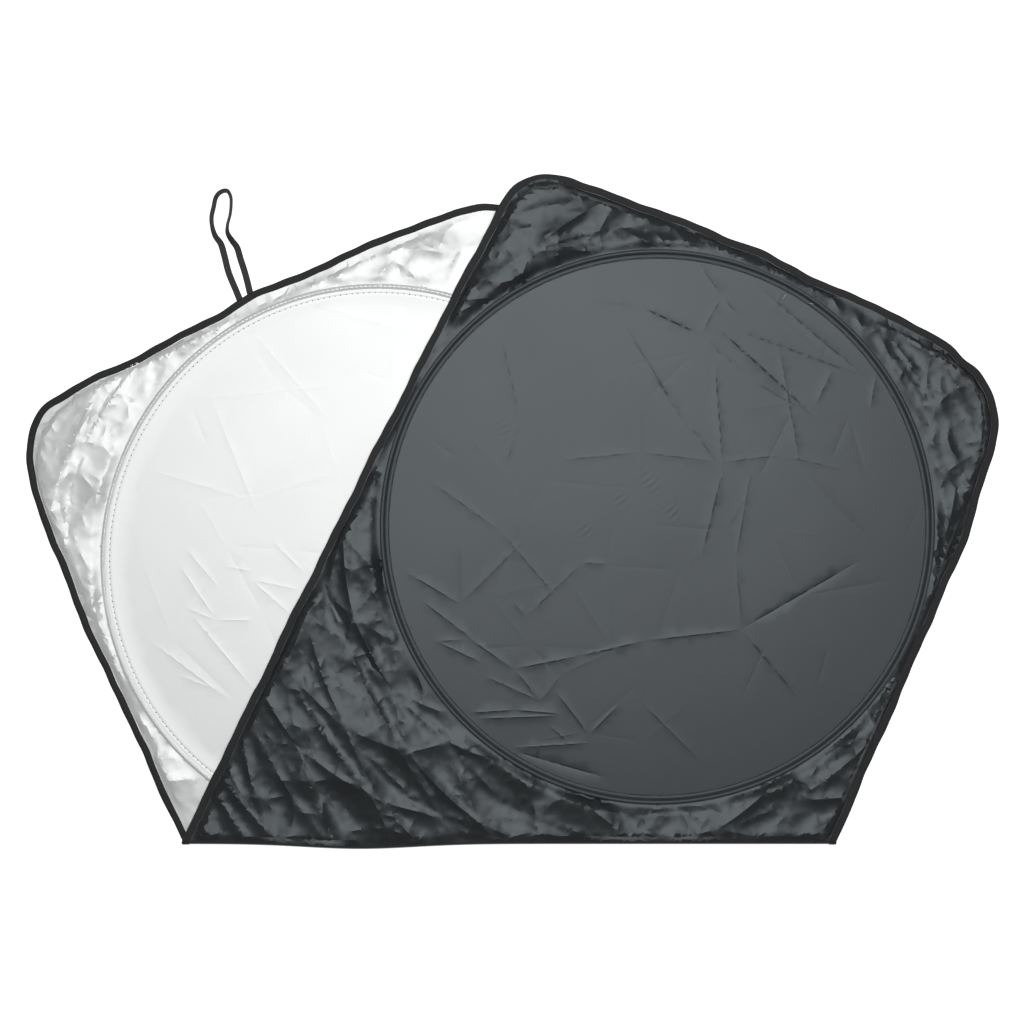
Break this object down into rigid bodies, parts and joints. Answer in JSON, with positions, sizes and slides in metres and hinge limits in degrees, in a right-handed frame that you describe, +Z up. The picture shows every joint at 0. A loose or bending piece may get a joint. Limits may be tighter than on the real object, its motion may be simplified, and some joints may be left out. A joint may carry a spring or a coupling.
{
  "type": "windscreen sunshade",
  "caption": "Folding windscreen sunshade of reflective cloth on sprung wire hoops, folded once across its middle, with a bound edge and an elastic loop.",
  "frame": {"origin": "on the floor plane under the middle of the folded sheet's box", "axes": "+Z up from the surface it lies on, +Y away from the fold line, +X along the fold line to the right as seen from above"},
  "size_m": [1.1854, 0.8218, 0.0202],
  "materials": {
    "coated_cloth": "satin silver coating on one face, dull black on the other",
    "binding_tape": "matte woven tape",
    "casing_tape": "matte woven tape",
    "spring_wire": "drawn steel",
    "crimp_sleeve": "plain steel",
    "elastic": "ribbed flat elastic"
  },
  "bodies": {
    "root": {"cloth": "coated_cloth", "edge_binding": "binding_tape", "lower_hoop_casing": "casing_tape", "lower_hoop_wire": "spring_wire", "lower_hoop_sleeve": "crimp_sleeve", "upper_hoop_casing": "casing_tape", "upper_hoop_wire": "spring_wire", "upper_hoop_sleeve": "crimp_sleeve", "elastic_loop": "elastic"}
  },
  "joints": []
}
